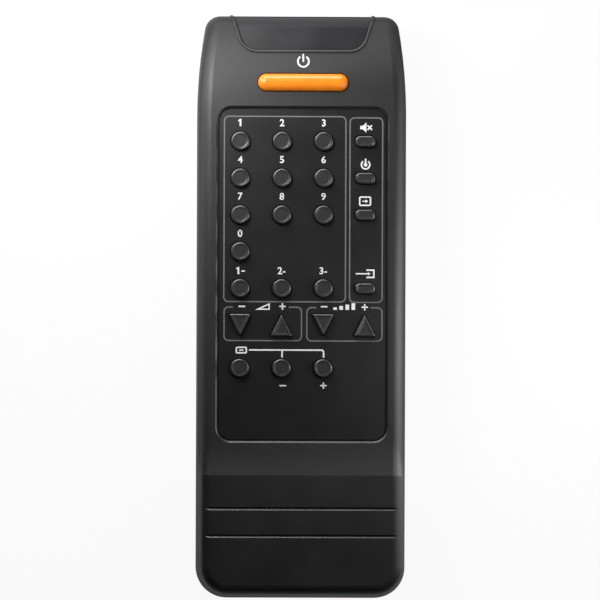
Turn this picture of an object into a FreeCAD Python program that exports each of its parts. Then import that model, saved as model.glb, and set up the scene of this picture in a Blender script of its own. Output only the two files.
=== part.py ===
import FreeCAD, Part
import math
import os

# Hand-held television remote control, in millimetres.
# The origin is the middle of the flat back. +X runs to the right of the keys,
# +Y to the infra-red window at the nose, +Z out of the keys.

Vector = FreeCAD.Vector

# Keypad grid: four columns, six even rows and one row set apart.
column_pitch = 12.0
row_pitch = 10.6
last_row_gap = 12.4
nose_to_first_row = 36.2
power_above_first_row = 16.9

# Key faces.
round_key_diameter = 5.4
oblong_key_width = 5.7
oblong_key_depth = 3.15
oblong_key_corner = 1.3
arrow_key_width = 6.5
arrow_key_depth = 6.5
arrow_key_corner = 0.3
power_key_width = 26.0
power_key_depth = 5.0
power_key_edge = 2.2
power_key_stand = 1.5
key_edge = 0.5
key_stand = 1.6
dish_rim = 0.5
dish_slope = 0.5
dish_depth = 0.1

# Key travel and the rubber sheet that returns the keys.
key_travel = 1.0
key_gap = 0.25
flange_reach = 1.0
flange_thickness = 0.7
flange_gap = 0.1
round_plunger_radius = 2.1
oblong_plunger_radius = 1.3
arrow_plunger_radius = 1.4
power_plunger_radius = 2.0
plunger_gap = 0.1
pill_height = 0.4
pill_step = 0.3
pill_stop = 0.05
power_guide_offset = 9.0
sheet_thickness = 1.0
sheet_end_step = 0.2
sheet_corner = 1.0
collar_height = 1.0
collar_foot = 1.4
collar_wall = 0.4
collar_clear = 0.1
rib_width = 1.0

# Case walls and shapes.
rim_width = 5.7
panel_side_margin = 6.5
panel_top_margin = 9.7
panel_bottom_margin = 21.0
panel_corner = 4.0
panel_recess = 1.0
panel_lip = 0.45
plate_thickness = 0.5
plate_bevel = 0.25
plate_gap = 0.3
side_wall = 2.2
top_wall = 2.5
floor_wall = 2.0
nose_corner = 4.5
tail_corner = 9.0
shoulder_length = 29.0
shoulder_drop = 2.9
head_length = 28.0
nose_drop = 2.0
ramp_length = 9.8
grip_rise = 1.0
upper_draft = 0.5
lower_draft = 1.6
top_edge = 3.6
bottom_edge = 4.0
grip_groove_count = 2
grip_groove_offset = 9.6
grip_groove_pitch = 7.9
grip_groove_width = 0.95
grip_groove_floor = 0.1
grip_groove_depth = 0.35
grip_groove_reach = 28.0

# Seam between the shells.
lip_inset = 1.2
lip_height = 1.4
lip_gap = 0.15
lip_top_gap = 0.2
lip_break_gap = 1.0
seam_line_depth = 0.35
seam_line_height = 0.5

# Infra-red window.
window_mouth_width = 39.9
window_foot_width = 33.4
window_length = 9.8
window_corner = 4.8
window_set_back = 0.9
window_front_set_back = 0.3
window_turn = 2.0
window_thickness = 2.3
window_flange = 1.2
window_gap = 0.12
glue_gap = 0.05
bead_width = 0.8
bead_height = 0.35
bead_edge = 0.3

# Penlight cells and their bay.
cell_diameter = 14.5
cell_length = 50.5
cell_nub_diameter = 5.5
cell_nub_height = 1.3
cell_edge = 0.6
cell_gap = 0.3
cell_rib_width = 1.0
cell_rib_drop = 3.0
bay_wall = 1.5
bay_roof = 1.5
roof_room = 2.9
tail_room = 4.3
contact_thickness = 0.4
contact_size = 9.0
tab_width = 2.0
tab_gap = 0.2
tab_drop = 0.9
prong_setback = 1.6
spring_length = 4.4
spring_wire = 0.7
spring_foot_radius = 4.0
spring_tip_radius = 2.2
spring_turns = 2
spring_bend = 0.8

# Sliding cover of the bay.
cover_thickness = 2.0
cover_gap = 0.15
cover_end_gap = 0.3
cover_side_land = 0.5
tongue_reach = 1.0
tongue_thickness = 0.9
tongue_lift = 0.8
grip_rib_count = 6
grip_rib_pitch = 1.8
grip_rib_width = 0.8
grip_rib_depth = 0.4
grip_rib_length = 14.0
grip_rib_offset = 5.0
arrow_mark_width = 5.0
arrow_mark_depth = 3.5
arrow_mark_gap = 2.5

# Circuit board and what it carries.
board_thickness = 1.6
board_side_gap = 2.8
board_end_margin = 4.5
board_bay_gap = 0.4
board_corner = 1.5
board_nose_gap = 13.5
pad_thickness = 0.1
lead_diameter = 0.5
lead_end_gap = 0.2
lead_hole_gap = 0.15
lead_pitch = 2.54
led_radius = 2.5
led_flange_radius = 2.9
led_flange_thickness = 1.0
led_length = 8.6
led_spacing = 14.0
led_drop = 0.4
led_seam_gap = 0.2
led_window_gap = 0.3
led_lead_run = 3.2
chip_length = 25.4
chip_width = 6.4
chip_height = 3.4
chip_standoff = 0.5
chip_pin_count = 20
chip_pin_width = 0.5
chip_pin_thickness = 0.25
chip_row_spacing = 7.62
capacitor_diameter = 8.0
capacitor_length = 11.5
resonator_width = 7.0
resonator_depth = 3.0
resonator_height = 7.5
transistor_radius = 2.4
transistor_flat = 1.2
transistor_height = 4.6
resistor_length = 6.3
resistor_radius = 1.15
resistor_span = 10.16
resistor_count = 4
resistor_step = 4.5
component_standoff = 1.0
resonator_ahead = 10.0
resistors_ahead = 26.0
capacitor_ahead = 44.0
capacitor_aside = 12.0
transistor_ahead = 52.0

# Screws.
board_screw_diameter = 2.0
board_screw_head = 3.8
board_screw_head_height = 1.4
board_screw_grip = 3.0
board_boss_radius = 1.9
board_boss_x = 18.0
board_boss_above_keys = 10.0
pilot_extra = 0.6
case_screw_diameter = 2.6
case_screw_head = 4.8
case_screw_head_height = 1.8
case_screw_grip = 5.0
case_well_depth = 6.5
case_well_gap = 0.3
case_boss_radius = 2.8
case_column_wall = 1.2
case_screw_wall = 0.8
case_screw_from_nose = 18.0
case_screw_from_tail = 12.0
screw_gap = 0.05
screw_clearance = 0.2
cross_width = 0.7
cross_depth = 0.8
boss_gap = 0.1

# Working values along Y, from the nose to the tail.
keypad_length = 5 * row_pitch + last_row_gap
board_end_to_nose = nose_to_first_row + keypad_length + board_end_margin
bay_length = 2 * contact_thickness + spring_length + cell_length
body_length = board_end_to_nose + board_bay_gap + bay_wall + bay_length + tail_room
nose_y = body_length / 2
tail_y = -body_length / 2
first_row_y = nose_y - nose_to_first_row
picture_row_y = first_row_y - keypad_length
power_y = first_row_y + power_above_first_row
panel_top_y = first_row_y + panel_top_margin
panel_bottom_y = picture_row_y - panel_bottom_margin
crease_y = panel_bottom_y - ramp_length
shoulder_y = nose_y - shoulder_length
head_y = nose_y - head_length
board_low_y = picture_row_y - board_end_margin
board_high_y = nose_y - board_nose_gap
bay_nose_y = board_low_y - board_bay_gap - bay_wall
bay_tail_y = bay_nose_y - bay_length

# Working values along X.
panel_width = 3 * column_pitch + 2 * panel_side_margin
body_width = panel_width + 2 * rim_width
cell_x = (cell_diameter + cell_gap) / 2
bay_half = cell_x + cell_diameter / 2 + cell_gap
cover_half = bay_half + cover_side_land
tongue_half = cover_half + tongue_reach
well_radius = case_screw_head / 2 + case_well_gap
case_screw_x = tongue_half + cover_gap + case_screw_wall + well_radius

# Working values along Z.
cell_z = cover_thickness + cell_gap + cell_diameter / 2
bay_roof_z = cell_z + cell_diameter / 2 + cell_gap
grip_height = bay_roof_z + bay_roof + roof_room + top_wall
deck_height = grip_height - grip_rise
ceiling_z = deck_height - top_wall
plate_z = deck_height - panel_recess
plate_top_z = plate_z + plate_thickness
stack_height = (sheet_thickness + collar_height + collar_clear + key_travel
                + flange_thickness + flange_gap)
board_top_z = ceiling_z - stack_height
board_z = board_top_z - board_thickness
plunger_low_z = board_top_z + pad_thickness + pill_stop + key_travel
led_z = board_z - led_drop
seam_z = led_z - led_flange_radius - led_seam_gap

# Curves of the outline and of the side view, from their chords.
shoulder_radius = (shoulder_length ** 2 + shoulder_drop ** 2) / (2 * shoulder_drop)
head_radius = (head_length ** 2 + nose_drop ** 2) / (2 * nose_drop)
ramp_radius = (ramp_length ** 2 + grip_rise ** 2) / (2 * grip_rise)

# Each key: node name, shape, column and row. Row 6 is the row set apart.
key_list = [
    ("key_1", "round", 0, 0),
    ("key_2", "round", 1, 0),
    ("key_3", "round", 2, 0),
    ("key_4", "round", 0, 1),
    ("key_5", "round", 1, 1),
    ("key_6", "round", 2, 1),
    ("key_7", "round", 0, 2),
    ("key_8", "round", 1, 2),
    ("key_9", "round", 2, 2),
    ("key_0", "round", 0, 3),
    ("key_one_dash", "round", 0, 4),
    ("key_two_dash", "round", 1, 4),
    ("key_three_dash", "round", 2, 4),
    ("key_mute", "oblong", 3, 0),
    ("key_timer", "oblong", 3, 1),
    ("key_recall", "oblong", 3, 2),
    ("key_input", "oblong", 3, 4),
    ("key_volume_down", "arrow_down", 0, 5),
    ("key_volume_up", "arrow_up", 1, 5),
    ("key_channel_down", "arrow_down", 2, 5),
    ("key_channel_up", "arrow_up", 3, 5),
    ("key_display", "round", 0, 6),
    ("key_display_down", "round", 1, 6),
    ("key_display_up", "round", 2, 6),
    ("key_power", "bar", None, None),
]

plunger_radii = {
    "round": round_plunger_radius,
    "oblong": oblong_plunger_radius,
    "arrow_up": arrow_plunger_radius,
    "arrow_down": arrow_plunger_radius,
    "bar": power_plunger_radius,
}


# Plain helpers.

def column_x(column):
    return (column - 1.5) * column_pitch


def row_y(row):
    if row == 6:
        return picture_row_y
    return first_row_y - row * row_pitch


def key_place(key):
    name, shape, column, row = key
    if shape == "bar":
        return 0.0, power_y
    return column_x(column), row_y(row)


def box(x0, x1, y0, y1, z0, z1):
    return Part.makeBox(x1 - x0, y1 - y0, z1 - z0, Vector(x0, y0, z0))


def cylinder(x, y, z0, z1, radius):
    return Part.makeCylinder(radius, z1 - z0, Vector(x, y, z0))


def prism(face, z0, z1):
    moved = face.copy()
    moved.translate(Vector(0, 0, z0))
    return moved.extrude(Vector(0, 0, z1 - z0))


def joined(shapes):
    return shapes[0].multiFuse(shapes[1:]).removeSplitter()


def is_upright(face):
    u0, u1, v0, v1 = face.ParameterRange
    return abs(face.normalAt((u0 + u1) / 2, (v0 + v1) / 2).z) < 1e-6


def rectangle(width, depth, x=0.0, y=0.0):
    return [(x - width / 2, y - depth / 2), (x + width / 2, y - depth / 2),
            (x + width / 2, y + depth / 2), (x - width / 2, y + depth / 2)]


def moved_out(corners, grow):
    # The corners of a convex outline, counter-clockwise, with every side moved out.
    count = len(corners)
    sides = []
    for i in range(count):
        ax, ay = corners[i]
        bx, by = corners[(i + 1) % count]
        length = math.hypot(bx - ax, by - ay)
        ux, uy = (bx - ax) / length, (by - ay) / length
        sides.append((ax + uy * grow, ay - ux * grow, ux, uy))
    result = []
    for i in range(count):
        px, py, ux, uy = sides[i - 1]
        qx, qy, vx, vy = sides[i]
        t = ((qx - px) * vy - (qy - py) * vx) / (ux * vy - uy * vx)
        result.append((px + t * ux, py + t * uy))
    return result


def rounded_face(corners, radius, grow=0.0):
    # A convex outline with rounded corners, every side moved out by grow.
    points = [Vector(x, y, 0) for x, y in moved_out(corners, grow)]
    round_radius = max(radius + grow, 0.05)
    edges = []
    starts = []
    ends = []
    for i, corner in enumerate(points):
        before = (points[i - 1] - corner).normalize()
        after = (points[(i + 1) % len(points)] - corner).normalize()
        half_angle = before.getAngle(after) / 2
        reach = round_radius / math.tan(half_angle)
        middle = (before + after).normalize()
        centre = corner + middle * (round_radius / math.sin(half_angle))
        starts.append(corner + before * reach)
        ends.append(corner + after * reach)
        top = centre - middle * round_radius
        edges.append(Part.Arc(starts[i], top, ends[i]).toShape())
    sides = []
    for i in range(len(points)):
        a, b = ends[i], starts[(i + 1) % len(points)]
        sides.append(edges[i])
        if a.distanceToPoint(b) > 1e-4:
            sides.append(Part.LineSegment(a, b).toShape())
    return Part.Face(Part.Wire(sides))


def key_corners(shape, x, y):
    if shape == "oblong":
        return rectangle(oblong_key_width, oblong_key_depth, x, y)
    if shape == "bar":
        return rectangle(power_key_width, power_key_depth, x, y)
    half, depth = arrow_key_width / 2, arrow_key_depth / 2
    if shape == "arrow_up":
        return [(x - half, y - depth), (x + half, y - depth), (x, y + depth)]
    return [(x, y - depth), (x + half, y + depth), (x - half, y + depth)]


def key_face(key, grow=0.0):
    name, shape, column, row = key
    x, y = key_place(key)
    if shape == "round":
        ring = Part.Circle(Vector(x, y, 0), Vector(0, 0, 1), round_key_diameter / 2 + grow)
        return Part.Face(Part.Wire(ring.toShape()))
    corner = {"oblong": oblong_key_corner, "bar": power_key_depth / 2 - 0.05}.get(shape, arrow_key_corner)
    return rounded_face(key_corners(shape, x, y), corner, grow)


# Outside forms of the case. An inset moves every face inwards by the same amount.

def case_wire(inset, z):
    half = body_width / 2 - inset
    nose = nose_y - inset
    tail = tail_y + inset
    nose_round = max(nose_corner - inset, 0.3)
    tail_round = max(tail_corner - inset, 0.3)
    radius = shoulder_radius - inset
    centre_x = body_width / 2 - shoulder_radius
    corner_y = nose - nose_round
    rise = corner_y - shoulder_y
    corner_x = centre_x + math.sqrt((radius - nose_round) ** 2 - rise ** 2)
    lean = math.atan2(rise, corner_x - centre_x)

    def turn(cx, cy, r, angle):
        return Vector(cx + r * math.cos(angle), cy + r * math.sin(angle), z)

    quarter = math.pi / 2
    shoulder = [turn(centre_x, shoulder_y, radius, a) for a in (0, lean / 2, lean)]
    nose_turn = [turn(corner_x, corner_y, nose_round, a) for a in (lean, (lean + quarter) / 2, quarter)]
    tail_turn = [turn(half - tail_round, tail + tail_round, tail_round, a)
                 for a in (-quarter, -quarter / 2, 0)]
    right = [
        Part.Arc(*tail_turn).toShape(),
        Part.LineSegment(tail_turn[2], shoulder[0]).toShape(),
        Part.Arc(*shoulder).toShape(),
        Part.Arc(*nose_turn).toShape(),
    ]

    def flipped(p):
        return Vector(-p.x, p.y, p.z)

    left = [
        Part.Arc(*[flipped(p) for p in reversed(nose_turn)]).toShape(),
        Part.Arc(*[flipped(p) for p in reversed(shoulder)]).toShape(),
        Part.LineSegment(flipped(shoulder[0]), flipped(tail_turn[2])).toShape(),
        Part.Arc(*[flipped(p) for p in reversed(tail_turn)]).toShape(),
    ]
    nose_line = Part.LineSegment(nose_turn[2], flipped(nose_turn[2])).toShape()
    tail_line = Part.LineSegment(flipped(tail_turn[0]), tail_turn[0]).toShape()
    return Part.Wire(right + [nose_line] + left + [tail_line])


def case_prism(inset, z0, z1):
    return Part.Face(case_wire(inset, z0)).extrude(Vector(0, 0, z1 - z0))


def under_profile(inset):
    # Everything under the top line of the side view, lowered by inset.
    beyond = 20.0

    def point(y, z):
        return Vector(-body_width, y, z)

    grip_z = grip_height - inset
    ramp_z = deck_height + ramp_radius
    ramp_out = ramp_radius + inset
    ramp_end_y = panel_bottom_y - math.sqrt(ramp_out ** 2 - (ramp_z - grip_z) ** 2)
    ramp_mid = math.asin((panel_bottom_y - ramp_end_y) / ramp_out) / 2
    ramp = Part.Arc(
        point(ramp_end_y, grip_z),
        point(panel_bottom_y - ramp_out * math.sin(ramp_mid), ramp_z - ramp_out * math.cos(ramp_mid)),
        point(panel_bottom_y, deck_height - inset))
    head_z = deck_height - head_radius
    head_in = head_radius - inset
    head_end = math.asin((nose_y + 1 - head_y) / head_in)
    head_points = [point(head_y + head_in * math.sin(a), head_z + head_in * math.cos(a))
                   for a in (0, head_end / 2, head_end)]
    low_z = -beyond
    line = Part.LineSegment
    outline = [
        line(point(tail_y - beyond, low_z), point(tail_y - beyond, grip_z)).toShape(),
        line(point(tail_y - beyond, grip_z), point(ramp_end_y, grip_z)).toShape(),
        ramp.toShape(),
        line(point(panel_bottom_y, deck_height - inset), head_points[0]).toShape(),
        Part.Arc(*head_points).toShape(),
        line(head_points[2], point(nose_y + 1, low_z)).toShape(),
        line(point(nose_y + 1, low_z), point(tail_y - beyond, low_z)).toShape(),
    ]
    return Part.Face(Part.Wire(outline)).extrude(Vector(2 * body_width, 0, 0))


def rim_edges(shape, low_z, high_z):
    # The edges round the outside of the top or bottom faces, without the folds across them.
    found = []
    for edge in shape.Edges:
        bounds = edge.BoundBox
        if bounds.ZMin < low_z or bounds.ZMax > high_z:
            continue
        across = bounds.YLength < 0.5 and bounds.XLength > 2 * rim_width
        inner = tail_y + rim_width < bounds.Center.y < nose_y - rim_width
        if not (across and inner):
            found.append(edge)
    return found


def upper_form(side_inset, top_inset, edge_radius=0.0):
    low = case_wire(side_inset, seam_z)
    high = case_wire(side_inset + upper_draft, grip_height)
    form = Part.makeLoft([low, high], True, True).common(under_profile(top_inset))
    if edge_radius > 0:
        lowest = deck_height - nose_drop - top_inset - 1
        form = form.makeFillet(edge_radius, rim_edges(form, lowest, grip_height + 1))
    return form


def lower_form(side_inset, floor_inset, edge_radius=0.0):
    slope = lower_draft / seam_z
    low = case_wire(side_inset + lower_draft - slope * floor_inset, floor_inset)
    high = case_wire(side_inset, seam_z)
    form = Part.makeLoft([low, high], True, True)
    if edge_radius > 0:
        form = form.makeFillet(edge_radius, rim_edges(form, floor_inset - 0.1, floor_inset + 0.1))
    return form


# Shapes that several pieces share.

def window_face(grow):
    # The U-shaped outline of the infra-red window, open past the nose.
    mouth, foot = window_mouth_width / 2, window_foot_width / 2
    low = nose_y - window_length
    beyond = (mouth - foot) / window_length * rim_width
    high = nose_y + rim_width
    corners = [(-foot, low), (foot, low), (mouth + beyond, high), (-mouth - beyond, high)]
    return rounded_face(corners, window_corner, grow)


def panel_face(grow):
    depth = panel_top_y - panel_bottom_y
    middle = (panel_top_y + panel_bottom_y) / 2
    return rounded_face(rectangle(panel_width, depth, 0, middle), panel_corner, grow)


def panel_lip_form():
    # The 45 degree bevel round the mouth of the panel recess.
    foot = panel_face(0).OuterWire
    rim = panel_face(panel_lip + 1).OuterWire
    foot.translate(Vector(0, 0, deck_height - panel_lip))
    rim.translate(Vector(0, 0, deck_height + 1))
    return Part.makeLoft([foot, rim], True, True)


def key_top(key):
    return deck_height + power_key_stand if key[1] == "bar" else plate_top_z + key_stand


def plunger_places(key):
    # One plunger under each key, and a guide pin on each side of it under the long key.
    x, y = key_place(key)
    if key[1] == "bar":
        return [(x, y), (x - power_guide_offset, y), (x + power_guide_offset, y)]
    return [(x, y)]


def board_boss_places():
    between_rows = (row_y(2) + row_y(3)) / 2
    above_low_row = (row_y(5) + row_y(6)) / 2
    middle_x = column_pitch
    places = []
    for side in (-1, 1):
        places.append((side * board_boss_x, first_row_y + board_boss_above_keys))
        places.append((side * middle_x, between_rows))
        places.append((side * middle_x, above_low_row))
    return places


def case_screw_places():
    rows = (nose_y - case_screw_from_nose, tail_y + case_screw_from_tail)
    return [(side * case_screw_x, y) for side in (-1, 1) for y in rows]


def screw(x, y, seat_z, head_radius_, head_height, shank_radius, shank_length):
    # A pan-head screw pointing up, its head under the seat, with a cross slot.
    head = cylinder(x, y, seat_z - head_height, seat_z, head_radius_)
    shank = cylinder(x, y, seat_z, seat_z + shank_length, shank_radius)
    arm = head_radius_ * 0.7
    low = seat_z - head_height
    slot_a = box(x - arm, x + arm, y - cross_width / 2, y + cross_width / 2, low, low + cross_depth)
    slot_b = box(x - cross_width / 2, x + cross_width / 2, y - arm, y + arm, low, low + cross_depth)
    return head.fuse(shank).cut(slot_a.fuse(slot_b)).removeSplitter()


# Case.

def sheet_half_width():
    reach = max(oblong_key_width, round_key_diameter, arrow_key_width) / 2 + flange_reach
    return 1.5 * column_pitch + reach + key_gap + rib_width


def sheet_steps():
    # The main stretch of the rubber sheet and the narrow one under the long key.
    low = board_low_y + sheet_end_step
    neck = first_row_y + round_key_diameter / 2 + flange_reach + key_gap + rib_width
    power_half = power_key_width / 2 + flange_reach + key_gap + rib_width
    high = power_y + power_key_depth / 2 + flange_reach + key_gap
    return low, neck, high, sheet_half_width(), power_half


def window_bead():
    # A fine raised bead round the window opening, rounded along its edges.
    high = grip_height + 1
    ring = prism(window_face(window_gap + bead_width), seam_z, high)
    ring = ring.cut(prism(window_face(window_gap), seam_z - 1, high))
    ring = ring.common(upper_form(-bead_height, -bead_height, top_edge + bead_height))
    edges = []
    for edge in ring.Edges:
        beside = [is_upright(face) for face in ring.ancestorsOfType(edge, Part.Face)]
        if beside.count(True) == 1 and edge.BoundBox.ZMax > seam_z + bead_height:
            edges.append(edge)
    return ring.makeFillet(bead_edge, edges).cut(upper_form(side_wall, top_wall))


def make_top_shell():
    shell = upper_form(0, 0, top_edge).cut(upper_form(side_wall, top_wall))

    shell = shell.fuse(window_bead())

    # Bosses for the board and the case screws, and ribs that hold the rubber sheet down.
    top = grip_height
    inside = upper_form(side_wall - glue_gap, top_wall - glue_gap)
    low, neck, high, half, power_half = sheet_steps()
    sheet_top = board_top_z + sheet_thickness
    solids = []
    for x, y in board_boss_places():
        solids.append(cylinder(x, y, board_top_z, top, board_boss_radius))
    for x, y in case_screw_places():
        solids.append(cylinder(x, y, seam_z + boss_gap, top, case_boss_radius))
    for side in (-1, 1):
        solids.append(box(*sorted((side * half, side * (half - rib_width))), low, neck, sheet_top, top))
        solids.append(box(*sorted((side * power_half, side * (power_half - rib_width))),
                          neck - rib_width, high, sheet_top, top))
        solids.append(box(*sorted((side * half, side * (power_half - rib_width))),
                          neck - rib_width, neck, sheet_top, top))
    shell = shell.multiFuse([solid.common(inside) for solid in solids])

    # Screw pilots.
    cuts = []
    for x, y in board_boss_places():
        radius = board_screw_diameter / 2 + screw_gap
        cuts.append(cylinder(x, y, board_top_z - 1, board_top_z + board_screw_grip + pilot_extra, radius))
    for x, y in case_screw_places():
        radius = case_screw_diameter / 2 + screw_gap
        cuts.append(cylinder(x, y, seam_z, seam_z + case_screw_grip + pilot_extra, radius))

    # The panel recess, the key holes and flat seats for the key flanges.
    cuts.append(prism(panel_face(0), plate_z, grip_height + 1))
    cuts.append(panel_lip_form())
    for key in key_list:
        cuts.append(prism(key_face(key, key_gap), ceiling_z - 1, grip_height + 1))
    power_key = key_list[-1]
    cuts.append(prism(key_face(power_key, flange_reach + key_gap), seam_z, ceiling_z))

    # The window opening.
    cuts.append(prism(window_face(window_gap), seam_z - 1, grip_height + 1))

    # The rebate for the lip and the fine line along the seam.
    cuts.append(case_prism(lip_inset - lip_gap, seam_z - 1, seam_z + lip_height + lip_top_gap)
                .cut(case_prism(side_wall + upper_draft, seam_z - 1, grip_height)))
    cuts.append(case_prism(-1, seam_z - 1, seam_z + seam_line_height)
                .cut(case_prism(seam_line_depth, seam_z - 1, grip_height)))

    # Finger grooves across the grip.
    for index in range(grip_groove_count):
        y = crease_y - grip_groove_offset - index * grip_groove_pitch
        cuts.append(finger_groove(y))
    return shell.cut(Part.makeCompound(cuts)).removeSplitter()


def finger_groove(y):
    reach = grip_groove_reach
    wide, narrow = grip_groove_width / 2, grip_groove_floor / 2
    low = grip_height - grip_groove_depth
    beyond = (wide - narrow) / grip_groove_depth
    points = [Vector(-reach, y - narrow, low), Vector(-reach, y + narrow, low),
              Vector(-reach, y + wide + beyond, grip_height + 1),
              Vector(-reach, y - wide - beyond, grip_height + 1)]
    face = Part.Face(Part.makePolygon(points + points[:1]))
    return face.extrude(Vector(2 * reach, 0, 0))


def make_bottom_shell():
    shell = lower_form(0, 0, bottom_edge).cut(lower_form(side_wall, floor_wall, bottom_edge - floor_wall))
    outside = lower_form(0, 0, bottom_edge)

    # The lip that centres the top shell, left out behind the window.
    lip = case_prism(lip_inset, seam_z - 1, seam_z + lip_height).cut(case_prism(side_wall, 0, grip_height))
    break_half = window_mouth_width / 2 + window_flange + lip_break_gap
    lip = lip.cut(box(-break_half, break_half, shoulder_y, nose_y, seam_z, grip_height))

    # The cell bay: a box that rises past the seam, with rails beside the cover.
    roof_top = bay_roof_z + bay_roof
    lean = upper_draft * (roof_top - seam_z) / (grip_height - seam_z)
    upper_room = case_prism(side_wall + lean + lip_gap, seam_z, roof_top)
    bay_out = bay_half + bay_wall
    rail_out = tongue_half + cover_gap + case_screw_wall
    rail_top = cover_thickness + tongue_lift + tongue_thickness
    bay = box(-bay_out, bay_out, tail_y, bay_nose_y + bay_wall, floor_wall - 1, roof_top)
    rails = box(-rail_out, rail_out, tail_y, bay_nose_y + bay_wall, floor_wall - 1, rail_top)
    room = outside.fuse(upper_room)

    # Columns of the case screws.
    solids = [lip, bay.common(room), rails.common(room)]
    for x, y in case_screw_places():
        solids.append(cylinder(x, y, 1, seam_z, well_radius + case_column_wall).common(outside))
    shell = shell.multiFuse(solids)

    cuts = [box(-bay_half, bay_half, bay_tail_y, bay_nose_y, -1, bay_roof_z)]
    for x, y in case_screw_places():
        cuts.append(cylinder(x, y, -1, case_well_depth, well_radius))
        cuts.append(cylinder(x, y, 0, grip_height, case_screw_diameter / 2 + screw_clearance))

    # The slot of the sliding cover, open through the tail.
    end = cover_nose_y() + cover_end_gap
    cuts.append(box(-cover_half, cover_half, tail_y - 1, end, -1, cover_thickness + cover_gap))
    groove_half = tongue_half + cover_gap
    cuts.append(box(-groove_half, groove_half, tail_y - 1, end,
                    tongue_lift - cover_gap, tongue_lift + tongue_thickness + cover_gap))

    # Slots for the tabs of the two nose contacts.
    for x in (-cell_x, cell_x):
        half = tab_width / 2 + tab_gap
        low, high = tab_levels()
        cuts.append(box(x - half, x + half, bay_nose_y - 1, bay_nose_y + bay_wall + 1,
                        low - tab_gap, high + tab_gap))
    shell = shell.cut(Part.makeCompound(cuts))

    # A rib from the roof between the two cells.
    rib = box(-cell_rib_width / 2, cell_rib_width / 2, bay_tail_y, bay_nose_y,
              bay_roof_z - cell_rib_drop, bay_roof_z + bay_roof / 2)
    return shell.fuse(rib).removeSplitter()


def cover_nose_y():
    return bay_nose_y + bay_wall / 2


def make_battery_cover():
    half = cover_half - cover_gap
    reach = tongue_half - cover_gap
    nose = cover_nose_y()
    plate = box(-half, half, tail_y - 1, nose, 0, cover_thickness)
    tongue = box(-reach, reach, tail_y - 1, nose, tongue_lift, tongue_lift + tongue_thickness)
    cover = plate.fuse(tongue).common(lower_form(0, 0, bottom_edge))

    # Thumb ribs between shallow grooves, and an arrow that shows the way it slides.
    cuts = []
    for index in range(grip_rib_count):
        y = nose - grip_rib_offset - index * grip_rib_pitch
        cuts.append(box(-grip_rib_length / 2, grip_rib_length / 2,
                        y - grip_rib_width / 2, y + grip_rib_width / 2, -1, grip_rib_depth))
    tip = nose - grip_rib_offset - grip_rib_count * grip_rib_pitch - arrow_mark_gap - arrow_mark_depth
    corners = [(0, tip), (arrow_mark_width / 2, tip + arrow_mark_depth),
               (-arrow_mark_width / 2, tip + arrow_mark_depth)]
    cuts.append(prism(rounded_face(corners, cross_width / 2), -1, grip_rib_depth))
    return cover.cut(Part.makeCompound(cuts)).removeSplitter()


def front_edges(lens):
    # The long edge where the top of the lens meets its front.
    found = []
    for edge in lens.Edges:
        bounds = edge.BoundBox
        is_long = bounds.XLength > window_foot_width
        if is_long and bounds.ZMin > seam_z + 1 and bounds.YMax > nose_y - rim_width:
            found.append(edge)
    return found


def make_ir_window():
    # A lens that closes the U-shaped opening and turns down to the nose, with a flange
    # glued behind the wall.
    inner = window_set_back + window_thickness
    high = grip_height + 1
    low = seam_z + glue_gap
    lens = prism(window_face(0), low, high).common(upper_form(window_front_set_back, window_set_back))
    lens = lens.makeFillet(window_turn, front_edges(lens))
    flange = prism(window_face(window_flange), low, high)
    flange = flange.common(upper_form(side_wall + glue_gap, top_wall + glue_gap))
    return lens.fuse(flange).cut(upper_form(inner, inner)).removeSplitter()


def make_face_plate():
    plate = prism(panel_face(-plate_gap), plate_z, plate_top_z)
    top_edges = [edge for edge in plate.Edges if edge.BoundBox.ZMin > plate_top_z - 1e-6]
    plate = plate.makeChamfer(plate_bevel, top_edges)
    holes = [prism(key_face(key, key_gap), plate_z - 1, plate_top_z + 1) for key in key_list]
    return plate.cut(Part.makeCompound(holes)).removeSplitter()


# Keys.

def rounded_top(solid, z, radius):
    edges = [edge for edge in solid.Edges if edge.BoundBox.ZMin > z - 1e-6]
    return solid.makeFillet(radius, edges)


def key_dish(key, top):
    if key[1] == "bar":
        return None
    rim = key_face(key, -dish_rim).OuterWire
    foot = key_face(key, -dish_rim - dish_slope).OuterWire
    rim.translate(Vector(0, 0, top))
    foot.translate(Vector(0, 0, top - dish_depth))
    return Part.makeLoft([foot, rim], True, True)


def make_key(key):
    top = key_top(key)
    flange_top = ceiling_z - flange_gap
    flange_low = flange_top - flange_thickness
    edge = power_key_edge if key[1] == "bar" else key_edge
    cap = rounded_top(prism(key_face(key), flange_low, top), top, edge)
    dish = key_dish(key, top)
    if dish:
        cap = cap.cut(dish)
    solids = [cap, prism(key_face(key, flange_reach), flange_low, flange_top)]
    radius = plunger_radii[key[1]]
    for x, y in plunger_places(key):
        solids.append(cylinder(x, y, plunger_low_z + pill_height, flange_top, radius))
    x, y = key_place(key)
    solids.append(cylinder(x, y, plunger_low_z, plunger_low_z + pill_height, radius - pill_step))
    return joined(solids)


def make_keypad_sheet():
    # The rubber sheet: a flat base with a short cone-shaped collar round each plunger.
    low, neck, high, half, power_half = sheet_steps()
    top = board_top_z + sheet_thickness
    main = rounded_face(rectangle(2 * half, neck - low, 0, (neck + low) / 2), sheet_corner)
    narrow = rounded_face(rectangle(2 * power_half, high - low, 0, (high + low) / 2), sheet_corner)
    base = prism(main, board_top_z, top).fuse(prism(narrow, board_top_z, top))
    collars = []
    holes = []
    for key in key_list:
        radius = plunger_radii[key[1]] + plunger_gap
        for x, y in plunger_places(key):
            collars.append(Part.makeCone(radius + collar_foot, radius + collar_wall, collar_height,
                                         Vector(x, y, top)))
            holes.append(cylinder(x, y, board_top_z - 1, grip_height, radius))
    for x, y in board_boss_places():
        holes.append(cylinder(x, y, board_top_z - 1, grip_height, board_boss_radius + boss_gap))
    return base.multiFuse(collars).cut(Part.makeCompound(holes)).removeSplitter()


# Circuit board.

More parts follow.
